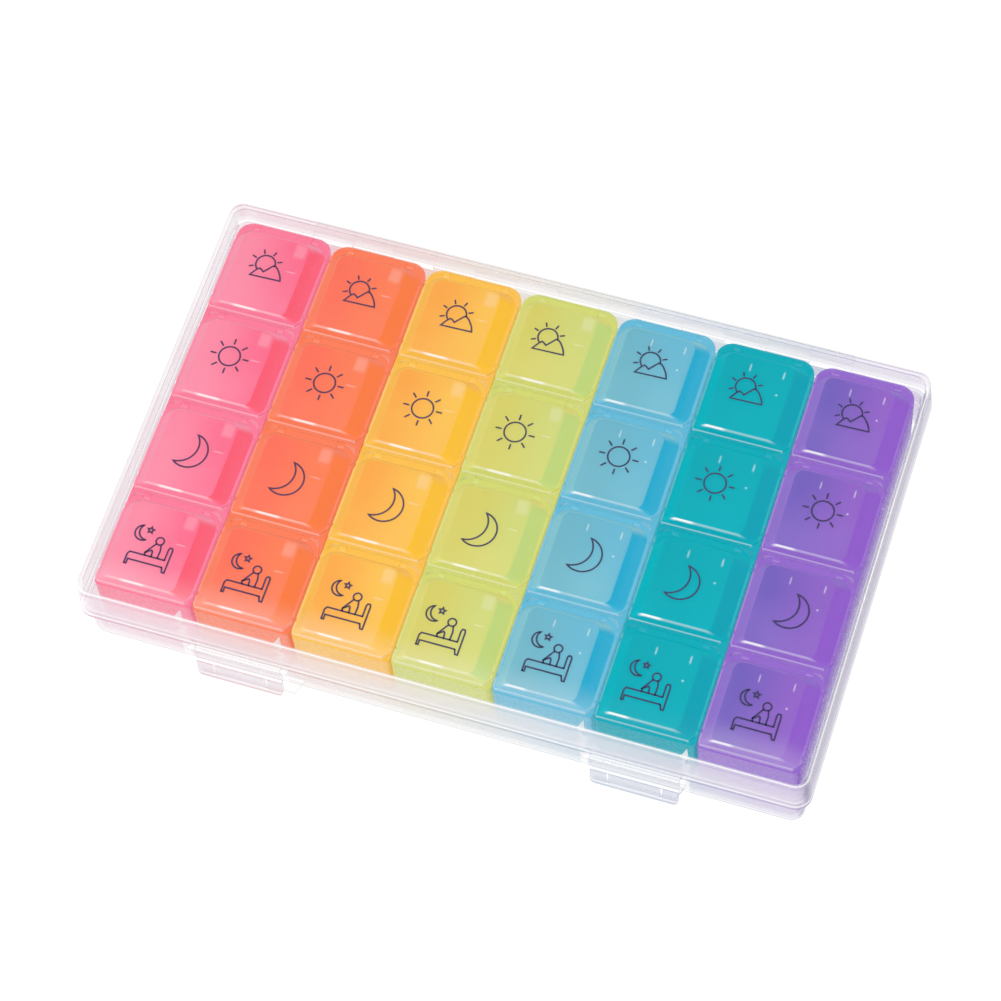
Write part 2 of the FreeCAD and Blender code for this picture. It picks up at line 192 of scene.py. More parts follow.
# The flip lids' panel at its left and at its right, the bevel on the right, the bevels on
# the left and at the back, and the strip's own walls.
Tint = namedtuple("Tint", "left right bevel pale wall")
TINTS = {
    "pink": Tint((254, 141, 167), (254, 105, 140), (255, 90, 114), (254, 152, 178), (254, 124, 156)),
    "orange": Tint((255, 112, 89), (255, 128, 84), (255, 124, 60), (255, 136, 104), (255, 126, 86)),
    "amber": Tint((254, 168, 71), (254, 199, 84), (255, 194, 42), (253, 190, 88), (254, 194, 74)),
    "lime": Tint((216, 207, 101), (210, 218, 124), (192, 217, 124), (226, 220, 124), (212, 218, 112)),
    "blue": Tint((109, 181, 201), (106, 187, 215), (0, 172, 212), (136, 200, 212), (96, 188, 220)),
    "teal": Tint((0, 169, 184), (0, 174, 188), (0, 164, 186), (0, 182, 196), (0, 172, 188)),
    "purple": Tint((112, 94, 189), (148, 99, 202), (145, 89, 206), (148, 118, 208), (150, 104, 208)),
}

# How much a pigment hides in a flip lid and in a strip, how glossy it looks, how much
# white lies on the front row of flip lids, and how much painted glow on the strip's front wall.
Pigment = namedtuple("Pigment", "lid_alpha strip_alpha lid_specular front_row_white front_wall_white")
LIGHT_PIGMENT = Pigment(0.8, 0.78, 0.2, 0.13, 0.14)
DENSE_PIGMENT = Pigment(0.94, 0.94, 0.08, 0.01, 0.03)

PLASTIC_IOR = 1.49
FINE_BUMP = 0.01 * MM


def tint_of(name):
    return Tint(*(rgb(*colour) for colour in TINTS[name]))


def pigment_of(name):
    return DENSE_PIGMENT if name == "teal" else LIGHT_PIGMENT


def day_colours(skin, x):
    """The seven strips' colours along the case, as painted light on its walls and as colour under the
    ink.
    """
    node = skin.add("ShaderNodeValToRGB")
    node.color_ramp.interpolation = "B_SPLINE"
    stops = node.color_ramp.elements
    stops_at_start = len(stops)
    for day, name in enumerate(DAYS):
        place = (day + 0.5) / len(DAYS)
        stop = stops[day] if day < stops_at_start else stops.new(place)
        stop.position = place
        stop.color = tint_of(name).wall
    half = STRIP_PITCH * len(DAYS) / 2
    skin.put(node.inputs[0], skin.ramp(x, -half, half, kind="LINEAR"))
    return node.outputs[0]


# ---------------------------------------------------------------- flip lids

# Noises, here and below, have their scale in cycles per metre.
LID_MOTTLE = dict(scale=55, detail=3.0)
LID_RIPPLE = dict(scale=160, stretch=(1, 0.6, 1))
LID_SPECK = dict(scale=900, detail=1.0)
LID_ROUGHNESS = (0.09, 0.16)
LID_SPECK_SPAN = (0.3, 0.8)
LID_BUMP = 0.03 * MM
RIPPLE_SHARE, SPECK_SHARE = 0.8, 0.05

PANEL_LEFT, PANEL_RIGHT = -11 * MM, 10 * MM
PANEL_UNEVENNESS = 0.5
# Painted light: where the panel grows paler towards its front, and how much.
PANEL_GLOW_FROM, PANEL_GLOW_TO = 7 * MM, -12 * MM
PANEL_GLOW_COVER = (0.2, 0.5)
# The normal's x or y where a bevel's colour begins, and where it is complete.
RIGHT_LEAN = (0.12, 0.45)
LEFT_LEAN = (-0.12, -0.5)
REAR_LEAN = (0.12, 0.5)
FRONT_LEAN = (-0.3, -0.8)
FRONT_BEVEL_COVER = 0.7

RIM_TOP = 23.6 * MM
RIM_BLUR = 0.1 * MM
PANEL_FROM = RIM_TOP + 1 * MM
RIM_FRONT = -15.5 * MM
RIM_SIDE = 14.65 * MM
RIM_LINE = 0.3 * MM
RIM_COVER = 0.85
# Strengths of the painted highlight along the rim's front edge and along its right and left sides.
RIM_FRONT_SHINE = 0.3
RIM_RIGHT_SHINE, RIM_LEFT_SHINE = 0.05, 0.14

ROW_FADE_FROM, ROW_FADE_TO = -6 * MM, -15 * MM

# A painted highlight along each panel's front edge, brightest in a glint.
BROW_Y = -14.2 * MM
BROW_HALF = 0.4 * MM
BROW_ENDS = (13.5 * MM, 11.5 * MM)
WARM_GLINT_X = -3 * MM
COOL_GLINT_X = -8.5 * MM
GLINT_HALF = 5 * MM
BROW_SHINE, GLINT_SHINE = 0.3, 0.95

# Painted reflections on the panels, as light marks about the compartment's centre. The warm and the
# cool strips differ.
PaintedReflection = namedtuple("PaintedReflection", "x y half_width half_length strength")
WARM_REFLECTIONS = (
    PaintedReflection(6.4 * MM, 0.8 * MM, 2.0 * MM, 0.3 * MM, 0.35),
    PaintedReflection(6.9 * MM, 8.4 * MM, 2.4 * MM, 3.2 * MM, 0.22),
)
COOL_REFLECTIONS = (
    PaintedReflection(-3.3 * MM, 7.6 * MM, 0.34 * MM, 1.6 * MM, 0.5),
    PaintedReflection(6.8 * MM, 7.6 * MM, 0.34 * MM, 1.6 * MM, 0.6),
    PaintedReflection(6.4 * MM, 0.8 * MM, 0.4 * MM, 0.4 * MM, 0.7),
)

Place = namedtuple("Place", "across along y z lean_x lean_y")


def place_on_lid(skin, day):
    """A point's place about its compartment's centre, its y and z, and how its surface leans."""
    x, y, z = skin.places()
    lean_x, lean_y, _ = skin.normals()
    across = skin.math("SUBTRACT", x, strip_x(day))
    from_front = skin.math("SUBTRACT", y, cell_y(FRONT_ROW) - CELL_PITCH / 2)
    in_cell = skin.math("FLOORED_MODULO", from_front, CELL_PITCH)
    along = skin.math("SUBTRACT", in_cell, CELL_PITCH / 2)
    return Place(across, along, y, z, lean_x, lean_y)


def panel_and_bevels(skin, tint, place):
    """The panel blends unevenly from left to right. Thick edges take a deeper colour, and the left and
    rear bevels a painted paler one.
    """
    mottle = skin.noise(**LID_MOTTLE)
    unevenness = skin.times(skin.math("SUBTRACT", mottle, NOISE_MIDDLE), PANEL_UNEVENNESS)
    blend = skin.math("ADD", skin.ramp(place.across, PANEL_LEFT, PANEL_RIGHT), unevenness, clamp=True)
    colour = skin.mix(blend, tint.left, tint.right)
    # Painted light: the panel is paler towards its front, more in some places than in others.
    painted_glow = skin.times(skin.ramp(place.along, PANEL_GLOW_FROM, PANEL_GLOW_TO), skin.vary(mottle, *PANEL_GLOW_COVER))
    colour = skin.mix(painted_glow, colour, tint.pale)
    colour = skin.mix(skin.ramp(place.lean_x, *RIGHT_LEAN), colour, tint.bevel)
    # Painted light: the left and rear bevels take the pale colour, as light shining through them.
    colour = skin.mix(skin.ramp(place.lean_x, *LEFT_LEAN), colour, tint.pale)
    colour = skin.mix(skin.ramp(place.lean_y, *REAR_LEAN), colour, tint.pale)
    return skin.mix(skin.ramp(place.lean_y, *FRONT_LEAN, 0.0, FRONT_BEVEL_COVER), colour, tint.wall)


def add_rim(skin, colour, wall, place):
    """The flat rim takes the wall's colour, with a faint painted highlight along its edge."""
    on_rim = skin.ramp(place.z, RIM_TOP + RIM_BLUR, RIM_TOP)
    colour = skin.mix(skin.times(on_rim, RIM_COVER), colour, wall)
    front = skin.times(skin.band(place.along, RIM_FRONT + RIM_LINE, RIM_LINE), RIM_FRONT_SHINE)
    sides = skin.band(skin.math("ABSOLUTE", place.across), RIM_SIDE - RIM_LINE, RIM_LINE)
    strength = skin.ramp(place.across, RIM_SIDE, -RIM_SIDE, RIM_RIGHT_SHINE, RIM_LEFT_SHINE)
    line = skin.math("MAXIMUM", front, skin.times(sides, strength))
    return skin.mix(skin.times(line, on_rim), colour, WHITE)


def add_front_row_fade(skin, colour, white, place):
    """The front row is paler towards the front wall of the case."""
    middle = cell_y(FRONT_ROW)
    fade = skin.ramp(place.y, middle + ROW_FADE_FROM, middle + ROW_FADE_TO, 0.0, white)
    return skin.mix(fade, colour, WHITE)


def add_brow_highlight(skin, colour, glint_x, place):
    """The panel's front edge carries a painted highlight, brightest in a glint about the given x."""
    brow = skin.band(place.along, BROW_Y, BROW_HALF)
    on_panel = skin.ramp(place.z, PANEL_FROM, PANEL_TOP)
    between_ends = skin.ramp(skin.math("ABSOLUTE", place.across), *BROW_ENDS)
    glint = skin.band(place.across, glint_x, GLINT_HALF)
    shine = skin.ramp(glint, 0, 1, BROW_SHINE, GLINT_SHINE)
    return skin.mix(skin.times(brow, on_panel, between_ends, shine), colour, WHITE)


def add_reflections(skin, colour, reflections, pale, place):
    """Soft painted reflections, in one part of the pale colour to two parts of white."""
    shine = tuple((share + 2) / 3 for share in pale)
    for reflection in reflections:
        width = skin.band(place.across, reflection.x, reflection.half_width)
        length = skin.band(place.along, reflection.y, reflection.half_length)
        on_panel = skin.ramp(place.z, PANEL_FROM, PANEL_TOP, 0.0, reflection.strength)
        colour = skin.mix(skin.times(width, length, on_panel), colour, shine)
    return colour


def lid_material(day, name):
    """Glossy tinted polypropylene of the flip lids."""
    tint, pigment = tint_of(name), pigment_of(name)
    warm = name in WARM_DAYS
    skin = Surface("lid_plastic_" + name)
    place = place_on_lid(skin, day)
    colour = panel_and_bevels(skin, tint, place)
    colour = add_rim(skin, colour, tint.wall, place)
    colour = add_front_row_fade(skin, colour, pigment.front_row_white, place)
    colour = add_brow_highlight(skin, colour, WARM_GLINT_X if warm else COOL_GLINT_X, place)
    colour = add_reflections(skin, colour, WARM_REFLECTIONS if warm else COOL_REFLECTIONS, tint.pale, place)
    speck = skin.noise(**LID_SPECK)
    ripple = skin.noise(**LID_RIPPLE)
    height = skin.math("ADD", skin.times(ripple, RIPPLE_SHARE), skin.times(speck, SPECK_SHARE))
    skin.principled(
        Base_Color=colour,
        Roughness=skin.ramp(speck, *LID_SPECK_SPAN, *LID_ROUGHNESS),
        IOR=PLASTIC_IOR,
        Alpha=pigment.lid_alpha,
        Specular_IOR_Level=pigment.lid_specular,
        Normal=skin.bump(height, LID_BUMP),
    )
    return skin.material


# ---------------------------------------------------------------- strips

STRIP_CLOUD = dict(scale=70, detail=3.0)
STRIP_RIPPLE = dict(scale=220)
STRIP_GRAIN = dict(scale=600)
STRIP_CLOUD_SHARE = 0.2
STRIP_ROUGHNESS = (0.22, 0.34)
STRIP_SPECULAR = 0.15
STRIP_PALE_UP_TO = 2 * MM
STRIP_DEEP_FROM = 20 * MM
# The normal's y where a wall begins to face the front, and where it fully does.
FACES_FRONT = (-0.5, -0.9)
FLOOR_TOP = 2.7 * MM
FLOOR_BLUR = 0.2 * MM


def strip_material(name):
    """Tinted polypropylene of a strip: less glossy than the flip lids, and painted paler low down."""
    tint, pigment = tint_of(name), pigment_of(name)
    skin = Surface("strip_plastic_" + name)
    _, _, z = skin.places()
    _, lean_y, _ = skin.normals()
    # Painted light: the strip is paler low down, deepening to its own colour towards the top.
    colour = skin.mix(skin.ramp(z, STRIP_PALE_UP_TO, STRIP_DEEP_FROM), tint.pale, tint.wall)
    colour = skin.mix(skin.times(skin.noise(**STRIP_CLOUD), STRIP_CLOUD_SHARE), colour, tint.bevel)
    # Painted light: the front walls are paler, as if lit through the plastic, behind the haze of the
    # case.
    white = skin.times(skin.ramp(lean_y, *FACES_FRONT), pigment.front_wall_white)
    colour = skin.mix(white, colour, WHITE)
    # Lamps shine through the walls, and only the compartments' floors shade the ground.
    to_lamp = skin.add("ShaderNodeLightPath").outputs["Is Shadow Ray"]
    lit_through = skin.times(to_lamp, skin.ramp(z, FLOOR_TOP, FLOOR_TOP + FLOOR_BLUR))
    skin.principled(
        Base_Color=colour,
        Roughness=skin.vary(skin.noise(**STRIP_GRAIN), *STRIP_ROUGHNESS),
        IOR=PLASTIC_IOR,
        Alpha=skin.mix_number(lit_through, pigment.strip_alpha, 0.0),
        Specular_IOR_Level=STRIP_SPECULAR,
        Normal=skin.bump(skin.noise(**STRIP_RIPPLE), FINE_BUMP),
    )
    return skin.material


# ---------------------------------------------------------------- case and latches

RIB_XS = tuple(x * MM for x in (-76.7, -46.7, 43.3, 73.3))
RIB_Y = -65.5 * MM
RIB_HALF_WIDTH = 1.5 * MM
RIB_HALF_DEPTH = 2.6 * MM
RIB_COVER, RIB_ALPHA = 0.6, 0.9

# Where a wall of the case ends it gathers light in a line, painted here as a highlight or as a tinted
# line of the strips' colour.
Edge = namedtuple("Edge", "height half_width whiteness")
EDGE_COVER, EDGE_ALPHA = 0.75, 0.95
# haze is how much an upright wall hides, its strip light share is how much of the strips'
# coloured light behind it is painted on it, and frosts are the two ends of its own colour.
Wall = namedtuple("Wall", "edges haze tint_share frosts")
TRAY_FROSTS = ((212, 205, 222), (231, 226, 237))
CASE_LID = Wall(
    edges=(
        Edge(26.3 * MM, 0.4 * MM, 0.1),
        Edge(16.0 * MM, 0.6 * MM, 0.95),
        Edge(14.8 * MM, 0.7 * MM, 0.0),
    ),
    haze=0.46,
    tint_share=0.16,
    frosts=((238, 229, 240), (253, 248, 252)),
)
CASE_TRAY = Wall(
    edges=(
        Edge(13.2 * MM, 0.6 * MM, 0.9),
        Edge(2.0 * MM, 0.6 * MM, 0.95),
        Edge(0.4 * MM, 0.7 * MM, 0.0),
    ),
    haze=0.42,
    tint_share=0.34,
    frosts=TRAY_FROSTS,
)
LATCH = Wall(
    edges=(
        Edge(11.4 * MM, 0.5 * MM, 0.95),
        Edge(10.3 * MM, 0.5 * MM, 0.0),
        Edge(3.8 * MM, 0.6 * MM, 0.0),
    ),
    haze=0.46,
    tint_share=0.16,
    frosts=TRAY_FROSTS,
)
CASE_CLOUD = dict(scale=38, detail=3.0, stretch=(0.4, 1, 1))
CASE_GRAIN = dict(scale=420, detail=4.0, roughness=0.6)
CASE_ROUGHNESS = (0.1, 0.18)
TINT_SWING = 0.3
HAZE_SWING = 0.06
OUTLINE_GREY = rgb(190, 180, 208)
OUTLINE_GREY_SHARE = 0.58

# What the cover of painted strip light on the left and on the right end wall gains. From one to
# the other the gain grows between the middle of the case and END_GAIN_TO.
END_GAIN = (-0.1, 0.3)
END_GAIN_TO = 90 * MM
# Painted shade on the right end wall, growing between END_SHADE_FROM and END_SHADE_TO along x.
END_SHADE = rgb(112, 98, 150)
END_SHADE_SHARE = 0.9
END_SHADE_FROM, END_SHADE_TO = 80 * MM, 95 * MM
# The normal's x, without its sign, where an end wall's gain or shade comes in.
GAIN_SIDEWAYS = (0.5, 0.9)
SHADE_SIDEWAYS = (0.6, 0.95)

# The normal's z, without its sign, where an edge's round begins and ends, and where a face
# is flat.
ROUND_FROM = (0.1, 0.3)
ROUND_TO = (0.985, 0.93)
FLAT_FROM = (0.93, 0.995)
FLAT_ALPHA = 0.003
# Where the painted highlight line lies on rounded edges, and how much they hide beside it and in it.
SHINE_LEVEL, SHINE_HALF = 0.66, 0.22
ROUND_ALPHA, SHINE_ALPHA = 0.2, 0.85


def add_edges(skin, colour, alpha, edges, tint, z):
    """Each edge is a painted line of light at its height, between the tinted outline and white."""
    outline = skin.mix(OUTLINE_GREY_SHARE, tint, OUTLINE_GREY)
    for edge in edges:
        line = skin.band(z, edge.height, edge.half_width)
        colour = skin.mix(line, colour, skin.mix(edge.whiteness, outline, WHITE))
        alpha = skin.mix_number(skin.times(line, EDGE_COVER), alpha, EDGE_ALPHA)
    return colour, alpha


def add_ribs(skin, colour, alpha, x, y):
    """The pointed ribs inside the front wall are whiter and hide more."""
    on_rib = skin.band(x, RIB_XS[0], RIB_HALF_WIDTH)
    for rib_x in RIB_XS[1:]:
        on_rib = skin.math("MAXIMUM", on_rib, skin.band(x, rib_x, RIB_HALF_WIDTH))
    on_rib = skin.times(on_rib, skin.band(y, RIB_Y, RIB_HALF_DEPTH))
    alpha = skin.mix_number(skin.times(on_rib, RIB_COVER), alpha, RIB_ALPHA)
    return skin.mix(on_rib, colour, WHITE), alpha


def case_material(name, wall):
    """Clear polypropylene: clear on the flat faces, and frosted on the upright walls."""
    skin = Surface(name)
    x, y, z = skin.places()
    lean_x, _, lean_z = skin.normals()
    level, sideways = skin.math("ABSOLUTE", lean_z), skin.math("ABSOLUTE", lean_x)
    grain = skin.noise(**CASE_GRAIN)
    cloud = skin.noise(**CASE_CLOUD)
    dark, light = wall.frosts
    frost = skin.mix(cloud, rgb(*dark), rgb(*light))
    tint = day_colours(skin, x)
    # The end wall beside the purple strip, which has the deepest colour, takes the most painted strip
    # light.
    gain = skin.times(skin.ramp(sideways, *GAIN_SIDEWAYS), skin.ramp(x, 0, END_GAIN_TO, *END_GAIN))
    # Painted light: the strips' colour, as the light that the wall picks up, mixed over its frost.
    cover = skin.vary(cloud, wall.tint_share * (1 - TINT_SWING), wall.tint_share * (1 + TINT_SWING))
    colour = skin.mix(skin.math("ADD", cover, gain), frost, tint)
    haze = skin.vary(cloud, wall.haze - HAZE_SWING, wall.haze + HAZE_SWING)
    alpha = skin.math("ADD", haze, gain)
    # Painted shade makes the same wall the darkest.
    shade = skin.times(skin.ramp(sideways, *SHADE_SIDEWAYS), skin.ramp(x, END_SHADE_FROM, END_SHADE_TO))
    colour = skin.mix(skin.times(shade, END_SHADE_SHARE), colour, END_SHADE)
    colour, alpha = add_edges(skin, colour, alpha, wall.edges, tint, z)
    colour, alpha = add_ribs(skin, colour, alpha, x, y)
    # Rounded edges carry a white haze, with a painted highlight line along their whole length.
    rounded = skin.times(skin.ramp(level, *ROUND_FROM), skin.ramp(level, *ROUND_TO))
    shine = skin.ramp(skin.band(level, SHINE_LEVEL, SHINE_HALF), 0, 1, ROUND_ALPHA, SHINE_ALPHA)
    colour = skin.mix(rounded, colour, WHITE)
    alpha = skin.mix_number(rounded, alpha, shine)
    alpha = skin.mix_number(skin.ramp(level, *FLAT_FROM), alpha, FLAT_ALPHA)
    skin.principled(
        Base_Color=colour,
        Roughness=skin.vary(grain, *CASE_ROUGHNESS),
        IOR=PLASTIC_IOR,
        Alpha=alpha,
        Normal=skin.bump(grain, FINE_BUMP),
    )
    return skin.material


# ---------------------------------------------------------------- icons

INK_DARK, INK_LIGHT = rgb(24, 14, 64), rgb(42, 28, 94)
INK_GRAIN = dict(scale=2500)
INK_GRAIN_SPAN = (0.3, 0.75)
INK_TINT_SHARE = 0.06
INK_ROUGHNESS = (0.4, 0.55)


def ink_material():
    """Dark pad-printed ink, slightly uneven in its cover."""
    skin = Surface("printed_ink")
    cover = skin.noise(**INK_GRAIN)
    colour = skin.mix(skin.ramp(cover, *INK_GRAIN_SPAN), INK_DARK, INK_LIGHT)
    # The ink is thin enough to take a little of the plastic's colour.
    x, _, _ = skin.places()
    colour = skin.mix(INK_TINT_SHARE, colour, day_colours(skin, x))
    skin.principled(
        Base_Color=colour,
        Roughness=skin.vary(cover, *INK_ROUGHNESS),
        Normal=skin.bump(cover, FINE_BUMP),
    )
    return skin.material


MITRE_LIMIT = 2
# Degrees round a line's end, from its side towards its tip, at which a rounded end has rows.
CAP_ANGLES = (25, 50, 75)
STAR_POINTS = 5
STAR_INNER_SHARE = 0.5


def ribbon(points, width, closed=False):
    """(left, right) outlines of a line of even width through 2-D points, with mitred turns.

    A turn is never stretched by more than MITRE_LIMIT.
    """
    count = len(points)
    left, right = [], []
    for i, point in enumerate(points):
        ahead = points[(i + 1) % count] if closed or i + 1 < count else None
        behind = points[i - 1] if closed or i > 0 else None
        directions = []
        if behind is not None:
            directions.append((Vector(point) - Vector(behind)).normalized())
        if ahead is not None:
            directions.append((Vector(ahead) - Vector(point)).normalized())
        heading = sum(directions, Vector((0, 0))).normalized()
        normal = Vector((-heading.y, heading.x))
        narrowing = normal.dot(Vector((-directions[0].y, directions[0].x)))
        stretch = 1 / max(1 / MITRE_LIMIT, narrowing)
        left.append(Vector(point) + normal * width / 2 * stretch)
        right.append(Vector(point) - normal * width / 2 * stretch)
    return left, right


def add_line(bm, points, width, height, closed=False):
    """A raised line with rounded ends through 2-D points, added to a mesh."""
    points = [Vector(p) for p in points]
    left, right = ribbon(points, width, closed)
    rows = list(zip(left, right))
    if not closed:
        start_cap = end_cap(points[1], points[0], width)
        rows = start_cap[::-1] + rows + end_cap(points[-2], points[-1], width)
    # Each row becomes four vertices: left bottom, left top, right bottom and right top.
    rings = []
    for row in rows:
        rings.append([bm.verts.new((p.x, p.y, z)) for p in row for z in (0, height)])
    # Between two rows there are four faces: the top, the bottom, the left and the right.
    sides = ((1, 3), (2, 0), (0, 1), (3, 2))
    followers = rings[1:] + rings[:1] if closed else rings[1:]
    for ring, follower in zip(rings, followers):
        for one, other in sides:
            bm.faces.new((ring[one], follower[one], follower[other], ring[other]))
    if not closed:
        for left_low, left_high, right_low, right_high in (rings[0], rings[-1]):
            bm.faces.new((left_low, left_high, right_high, right_low))


def end_cap(inner, end, width):
    """Rows that round off a line's end, from the line outwards."""
    heading = (end - inner).normalized()
    normal = Vector((-heading.y, heading.x))
    rows = []
    for degrees in CAP_ANGLES:
        angle = math.radians(degrees)
        middle = end + heading * math.sin(angle) * width / 2
        half = normal * math.cos(angle) * width / 2
        rows.append((middle + half, middle - half))
    return rows


def arc(cx, cy, radius, start, stop, steps):
    """Points on an arc, angles in degrees."""
    angles = [math.radians(start + (stop - start) * i / steps) for i in range(steps + 1)]
    return [(cx + radius * math.cos(a), cy + radius * math.sin(a)) for a in angles]


def rays(cx, cy, inner, outer, angles):
    """Straight open lines that point away from a centre."""
    lines = []
    for angle in angles:
        across, up = math.cos(math.radians(angle)), math.sin(math.radians(angle))
        line = [(cx + across * reach, cy + up * reach) for reach in (inner, outer)]
        lines.append((line, False))
    return lines


def crescent(cx, cy, radius, facing, horn, thickness):
    """A closed crescent outline that opens towards facing, in degrees.

    horn is the angle between facing and each tip, seen from the outer circle's centre.
    """
    outer = arc(cx, cy, radius, facing + horn, facing + 360 - horn, steps=36)
    half_chord = radius * math.sin(math.radians(horn))
    chord_reach = radius * math.cos(math.radians(horn))
    depth = radius + chord_reach - thickness
    inner_radius = (half_chord**2 + depth**2) / (2 * depth)
    reach = chord_reach - depth + inner_radius
    way = math.radians(facing)
    half_angle = math.degrees(math.asin(half_chord / inner_radius))
    inner = arc(
        cx + reach * math.cos(way),
        cy + reach * math.sin(way),
        inner_radius,
        facing + 180 + half_angle,
        facing + 180 - half_angle,
        steps=28,
    )
    return outer + inner[1:-1]


def star(cx, cy, radius):
    """A closed outline of points and notches in turn, with one point straight up."""
    points = []
    for i in range(2 * STAR_POINTS):
        angle = math.radians(90 + 180 / STAR_POINTS * i)
        reach = radius if i % 2 == 0 else radius * STAR_INNER_SHARE
        points.append((cx + reach * math.cos(angle), cy + reach * math.sin(angle)))
    return points


# Each icon is a list of (points, closed), in millimetres about the lid's centre.


def sun_over_hills():
    sun_x, sun_y = -1.8, 1.5
    disc = arc(sun_x, sun_y, radius=2.95, start=1, stop=224, steps=30)
    spokes = rays(sun_x, sun_y, inner=3.75, outer=4.85, angles=[22.5 + 45 * i for i in range(5)])
    left_foot, right_foot = (-5.2, -3.2), (4.3, -2.95)
    low_hill = [(-3.86, -1.1), (-3.05, -0.28), (-2.4, -0.55), (-1.6, -1.24)]
    high_hill = [(0.75, 1.5), (1.6, 1.4), (2.5, 0.55), (3.5, -0.9), (4.05, -2.0)]
    hills = [left_foot, *low_hill, *high_hill, right_foot]
    return [(disc, False), *spokes, (hills, True)]


def high_sun():
    sun_x, sun_y = -1.4, 0.3
    disc = arc(sun_x, sun_y, radius=3.2, start=0, stop=352, steps=44)
    spokes = rays(sun_x, sun_y, inner=4.3, outer=5.75, angles=[45 * i for i in range(8)])
    return [(disc, True), *spokes]


def moon():
    outline = crescent(-2.0, -1.0, radius=5.55, facing=156.6, horn=75.6, thickness=3.5)
    return [(outline, True)]


def person_in_bed():
    mattress, under, foot = -5.05, -7.4, -8.9
    left, right = -7.5, 4.2
    post = 0.62
    post_top, post_shoulder = -0.9, -1.5
    bed_top = [
        (left, foot),
        (left, mattress - 0.8),
        (left + 0.5, mattress),
        (right - post, mattress),
    ]
    bed_underside = [(left, foot), (left + 0.65, foot), (left + 0.65, under), (right - post, under)]
    bed_head = [
        (right - post, mattress),
        (right - post, post_shoulder),
        (right - 0.35, post_top),
        (right + 0.35, post_top),
        (right + post, post_shoulder),
        (right + post, foot),
        (right - 0.1, foot),
        (right - post, under),
    ]
    head = arc(0.3, 0.35, radius=1.2, start=0, stop=348, steps=28)
    elbow = (-2.75, -4.2)
    chest = [(-0.5, -0.75), elbow, (-2.5, mattress)]
    back = [(1.0, -0.75), (1.4, -2.6), (1.3, mattress)]
    arm = [elbow, (-1.1, -3.0), (-0.7, -3.4), (-0.55, mattress)]
    small_moon = crescent(-5.37, 1.61, radius=2.4, facing=23.8, horn=79.3, thickness=1.3)
    return [
        (bed_top, False),
        (bed_underside, False),
        (bed_head, False),
        (head, True),
        (chest, False),
        (back, False),
        (arm, False),
        (small_moon, True),
        (star(-3.5, 3.0, radius=1.0), True),
    ]


ICONS = dict(zip(TIMES, (sun_over_hills, high_sun, moon, person_in_bed)))
# How far the print sits from its place on each strip, in millimetres.
PRINT_DRIFT = {
    "pink": (0.0, 0.0),
    "orange": (0.0, -0.7),
    "amber": (0.35, -0.7),
    "lime": (-1.35, -0.65),
    "blue": (-0.15, 0.05),
    "teal": (-1.1, -0.5),
    "purple": (0.85, -0.45),
}
ICON_LINE = 0.5
INK_THICKNESS = 0.05


def make_icon(day, row, material):
    """One icon as raised ink on a flip lid. It is drawn in millimetres about the lid's centre."""
    name, time = DAYS[day], TIMES[row]
    bm = bmesh.new()
    drift_x, drift_y = PRINT_DRIFT[name]
    for points, closed in ICONS[time]():
        shifted = [(x + drift_x, y + drift_y) for x, y in points]
        add_line(bm, shifted, ICON_LINE, INK_THICKNESS, closed)
    bmesh.ops.recalc_face_normals(bm, faces=bm.faces)
    mesh = bpy.data.meshes.new(f"icon_{name}_{time}")
    bm.to_mesh(mesh)
    bm.free()
    for vertex in mesh.vertices:
        vertex.co = Vector((strip_x(day), cell_y(row), PANEL_TOP)) + vertex.co * MM
    icon = bpy.data.objects.new(f"icon_{name}_{time}", mesh)
    bpy.context.scene.collection.objects.link(icon)
    mesh.materials.append(material)
    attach(icon, f"lid_{name}_{time}")


# ---------------------------------------------------------------- build


def dress(node, material, casts_shadow=False):
    """Gives a CAD node its material.

    Without a shadow it lets light reach what is inside it, as thin clear plastic does.
    """
    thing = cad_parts[node]
    thing.data.materials.clear()
    thing.data.materials.append(material)
    thing.visible_shadow = casts_shadow
    thing.visible_diffuse = False


dress("case_lid", case_material("case_lid_plastic", CASE_LID))
tray = case_material("case_tray_plastic", CASE_TRAY)
for node in ("case_base", "case_hinge_pin"):
    dress(node, tray)
latch = case_material("latch_plastic", LATCH)
for node in ("latch_left", "latch_right"):
    dress(node, latch)
ink = ink_material()
for day, name in enumerate(DAYS):
    dress("strip_" + name, strip_material(name), casts_shadow=True)
    lid = lid_material(day, name)
    for row, time in enumerate(TIMES):
        dress(f"lid_{name}_{time}", lid)
        make_icon(day, row, ink)


# ---------------------------------------------------------------- floor, world, lamps, camera

FLOOR_HALF = 3.0
FLOOR_DROP = 0.2 * MM
# LIT is for the rays that light the object, and SEEN is for what the camera sees.
FLOOR_GLOW_SEEN = 0.7
FLOOR_GREY_LIT = (0.78, 0.78, 0.78, 1)
FLOOR_GREY_SEEN = (0.36, 0.36, 0.36, 1)
WORLD_LIT, WORLD_SEEN = 0.82, 1.0

LAMP_TARGET = (0, 0, 20 * MM)
KEY_LAMP = dict(place=(-0.25, -0.78, 0.95), size=(0.6, 0.035), power=3.6)
SIDE_LAMP = dict(place=(1.2, 0.55, 0.2), size=(0.05, 0.6), power=1.0)

CAMERA_PLACE = (0.194535, -0.442212, 0.940093)
CAMERA_TURN = (27.4455, 3.1668, 17.9559)
CAMERA_LENS = 129.29
CAMERA_SENSOR = 36
CAMERA_CLIP = 0.05

# A ray may pass this many see-through surfaces before it is cut off.
SEE_THROUGH_LAYERS = 40


def seen_directly(nodes):
    """1 for camera, mirror and see-through rays, and 0 for the rays that light the object."""
    path = nodes.add("ShaderNodeLightPath")
    either = nodes.math("MAXIMUM", path.outputs["Is Camera Ray"], path.outputs["Is Glossy Ray"])
    return nodes.math("MAXIMUM", either, path.outputs["Is Transmission Ray"])


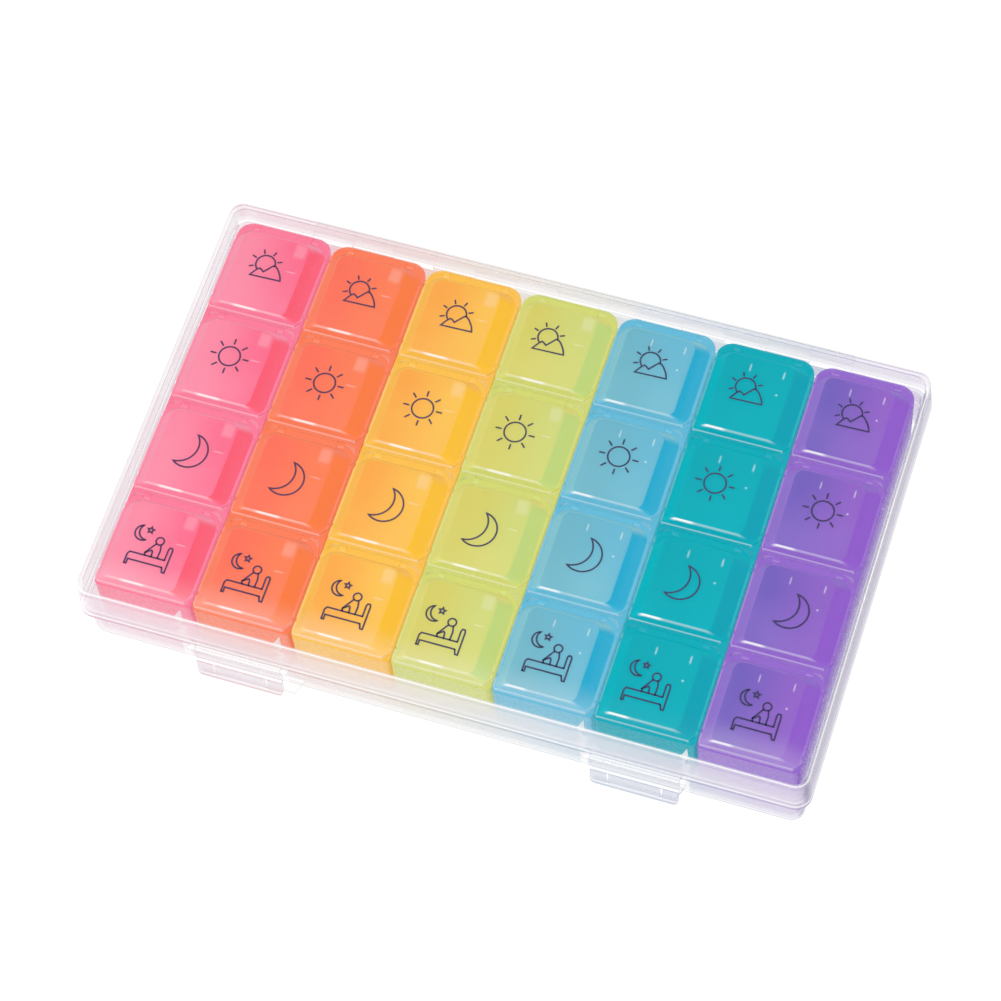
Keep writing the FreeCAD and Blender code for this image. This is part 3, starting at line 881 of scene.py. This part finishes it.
def floor_material():
    """White paper. Part of what is seen of it is its own glow, so that it comes out white."""
    skin = Surface("white_ground")
    seen = seen_directly(skin)
    glow = skin.add("ShaderNodeEmission")
    glow.inputs["Color"].default_value = WHITE
    skin.put(glow.inputs["Strength"], skin.times(seen, FLOOR_GLOW_SEEN))
    paper = skin.add("ShaderNodeBsdfDiffuse")
    skin.put(paper.inputs["Color"], skin.mix(seen, FLOOR_GREY_LIT, FLOOR_GREY_SEEN))
    both = skin.add("ShaderNodeAddShader")
    skin.put(both.inputs[0], glow.outputs[0])
    skin.put(both.inputs[1], paper.outputs[0])
    skin.put(skin.out.inputs[0], both.outputs[0])
    return skin.material


def make_floor():
    mesh = bpy.data.meshes.new("ground")
    corners = [(x * FLOOR_HALF, y * FLOOR_HALF, 0) for x, y in ((-1, -1), (1, -1), (1, 1), (-1, 1))]
    mesh.from_pydata(corners, [], [range(len(corners))])
    mesh.materials.append(floor_material())
    ground = bpy.data.objects.new("ground", mesh)
    ground.location.z = -FLOOR_DROP
    bpy.context.scene.collection.objects.link(ground)


def make_world():
    """White all round, a little weaker as light than as seen."""
    world = bpy.data.worlds.new("studio")
    bpy.context.scene.world = world
    world.use_nodes = True
    nodes = Nodes(world.node_tree)
    background = nodes.add("ShaderNodeBackground")
    background.inputs["Color"].default_value = WHITE
    strength = nodes.ramp(seen_directly(nodes), 0, 1, WORLD_LIT, WORLD_SEEN)
    nodes.put(background.inputs["Strength"], strength)
    out = nodes.add("ShaderNodeOutputWorld")
    nodes.put(out.inputs[0], background.outputs[0])


def make_lamp(name, place, size, power):
    light = bpy.data.lights.new(name, "AREA")
    light.shape = "RECTANGLE"
    light.size, light.size_y = size
    light.energy = power
    lamp = bpy.data.objects.new(name, light)
    lamp.location = place
    aim = Vector(LAMP_TARGET) - Vector(place)
    lamp.rotation_euler = aim.to_track_quat("-Z", "Y").to_euler()
    bpy.context.scene.collection.objects.link(lamp)


def make_camera():
    data = bpy.data.cameras.new("photo_camera")
    data.sensor_width = CAMERA_SENSOR
    data.lens = CAMERA_LENS
    data.clip_start = CAMERA_CLIP
    camera = bpy.data.objects.new("photo_camera", data)
    camera.location = CAMERA_PLACE
    camera.rotation_euler = tuple(math.radians(angle) for angle in CAMERA_TURN)
    bpy.context.scene.collection.objects.link(camera)
    bpy.context.scene.camera = camera


make_floor()
make_world()
make_lamp("key", **KEY_LAMP)
make_lamp("side", **SIDE_LAMP)
make_camera()
bpy.context.scene.view_settings.view_transform = "Standard"
bpy.context.scene.cycles.transparent_max_bounces = SEE_THROUGH_LAYERS
